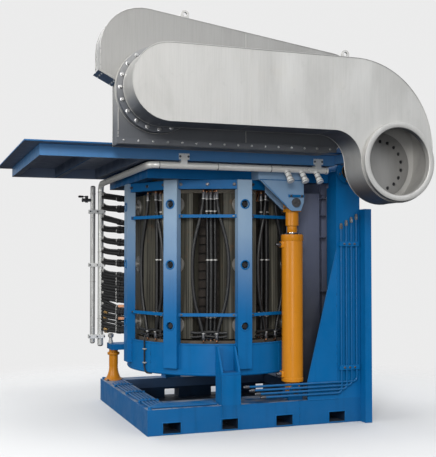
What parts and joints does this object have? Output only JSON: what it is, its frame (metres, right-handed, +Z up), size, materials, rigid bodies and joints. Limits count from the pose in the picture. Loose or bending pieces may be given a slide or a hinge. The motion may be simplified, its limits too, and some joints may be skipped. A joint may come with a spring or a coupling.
{
  "type": "tilting induction melting furnace",
  "caption": "Steel shell induction furnace on a skid, tipped by hydraulic cylinders, with a working deck, cooling hoses and a swinging fume hood on a flat duct.",
  "frame": {"origin": "middle of the skid, on the floor", "axes": "+X from the charging side to the pouring side, +Y from the front with the duct to the rear, +Z up"},
  "size_m": [3.434, 3.153, 3.6853],
  "materials": {
    "blue_paint": "glossy blue enamel with light dust",
    "dark_shield": "dark enamel sheet",
    "stainless": "satin stainless sheet and pipe",
    "orange_paint": "glossy orange enamel",
    "bright_rod": "polished chromed rod",
    "dark_steel": "plain dark steel",
    "yoke_steel": "stacked grey iron sheets",
    "bush_bronze": "bearing bronze",
    "copper": "coil copper",
    "refractory": "rammed and cast refractory",
    "hose_rubber": "black water hose",
    "lever_paint": "dark painted lever"
  },
  "bodies": {
    "base": {"skid_frame": "blue_paint", "stanchions": "blue_paint", "end_posts": "blue_paint", "bearing_housings": "blue_paint", "bearing_bushes": "bush_bronze", "rest_blocks": "blue_paint", "cylinder_lugs": "blue_paint", "cylinder_foot_pins": "dark_steel", "rest_post": "orange_paint", "oil_pipes": "blue_paint", "oil_pipe_clamps": "blue_paint"},
    "furnace": {"deck_plate": "blue_paint", "body_feet": "blue_paint", "cylinder_brackets": "blue_paint", "cage_columns": "blue_paint", "shell_drum": "blue_paint", "top_ring": "blue_paint", "side_rails": "blue_paint", "rest_arm": "blue_paint", "tilting_frame": "blue_paint", "deck_frame": "blue_paint", "side_shield": "dark_shield", "fume_duct": "stainless", "outlet_ring": "stainless", "outlet_flange": "stainless", "duct_collar": "stainless", "duct_lug": "stainless", "water_main": "stainless", "water_nozzles": "stainless", "return_header": "stainless", "pipe_clips": "stainless", "bracket_pins": "dark_steel", "front_trunnion": "dark_steel", "rear_trunnion": "dark_steel", "jack_bolts": "dark_steel", "swivel_bolts": "dark_steel", "valve_body": "dark_steel", "yokes": "yoke_steel", "coil": "copper", "coil_terminals": "copper", "crucible_lining": "refractory", "coil_grout": "refractory", "bottom_block": "refractory", "top_block": "refractory", "pour_spout": "refractory", "ladder_hoses": "hose_rubber", "window_hoses": "hose_rubber"},
    "front_barrel": {"front_barrel": "orange_paint", "front_gland": "orange_paint"},
    "rear_barrel": {"rear_barrel": "orange_paint", "rear_gland": "orange_paint"},
    "front_rod": {"front_rod": "bright_rod", "front_rod_eye": "orange_paint"},
    "rear_rod": {"rear_rod": "bright_rod", "rear_rod_eye": "orange_paint"},
    "hood": {"hood_box": "stainless", "canopy": "stainless", "swivel_ring": "stainless", "hood_lug": "stainless"},
    "valve_lever": {"valve_lever": "lever_paint"}
  },
  "joints": [
    {"name": "tilt", "type": "hinge", "parent": "base", "child": "furnace", "pos_m": [0.935, 0, 2.389], "axis": [0, 1, 0], "range_deg": [0, 95]},
    {"name": "hood_swing", "type": "hinge", "parent": "furnace", "child": "hood", "pos_m": [-1.095, -1.49, 2.952], "axis": [0, -1, 0], "range_deg": [0, 75]},
    {"name": "valve_turn", "type": "hinge", "parent": "furnace", "child": "valve_lever", "pos_m": [-1.235, 0.892, 2.21], "axis": [0, 0, 1], "range_deg": [0, 90]},
    {"name": "front_barrel_swing", "type": "hinge", "parent": "base", "child": "front_barrel", "pos_m": [0.395, -0.885, 0.312], "axis": [0, 1, 0], "range_deg": [0, 6.05]},
    {"name": "front_rod_slide", "type": "slide", "parent": "front_barrel", "child": "front_rod", "axis": [0, 0, 1], "range_m": [0, 0.8891]},
    {"name": "rear_barrel_swing", "type": "hinge", "parent": "base", "child": "rear_barrel", "pos_m": [0.395, 0.885, 0.312], "axis": [0, 1, 0], "range_deg": [0, 6.05]},
    {"name": "rear_rod_slide", "type": "slide", "parent": "rear_barrel", "child": "rear_rod", "axis": [0, 0, 1], "range_m": [0, 0.8891]}
  ],
  "couplings": [
    {"joint": "front_barrel_swing", "follows": "tilt", "ratio": 0.06351},
    {"joint": "front_rod_slide", "follows": "tilt", "m_per_rad": 0.53592},
    {"joint": "rear_barrel_swing", "follows": "tilt", "ratio": 0.06351},
    {"joint": "rear_rod_slide", "follows": "tilt", "m_per_rad": 0.53592}
  ]
}
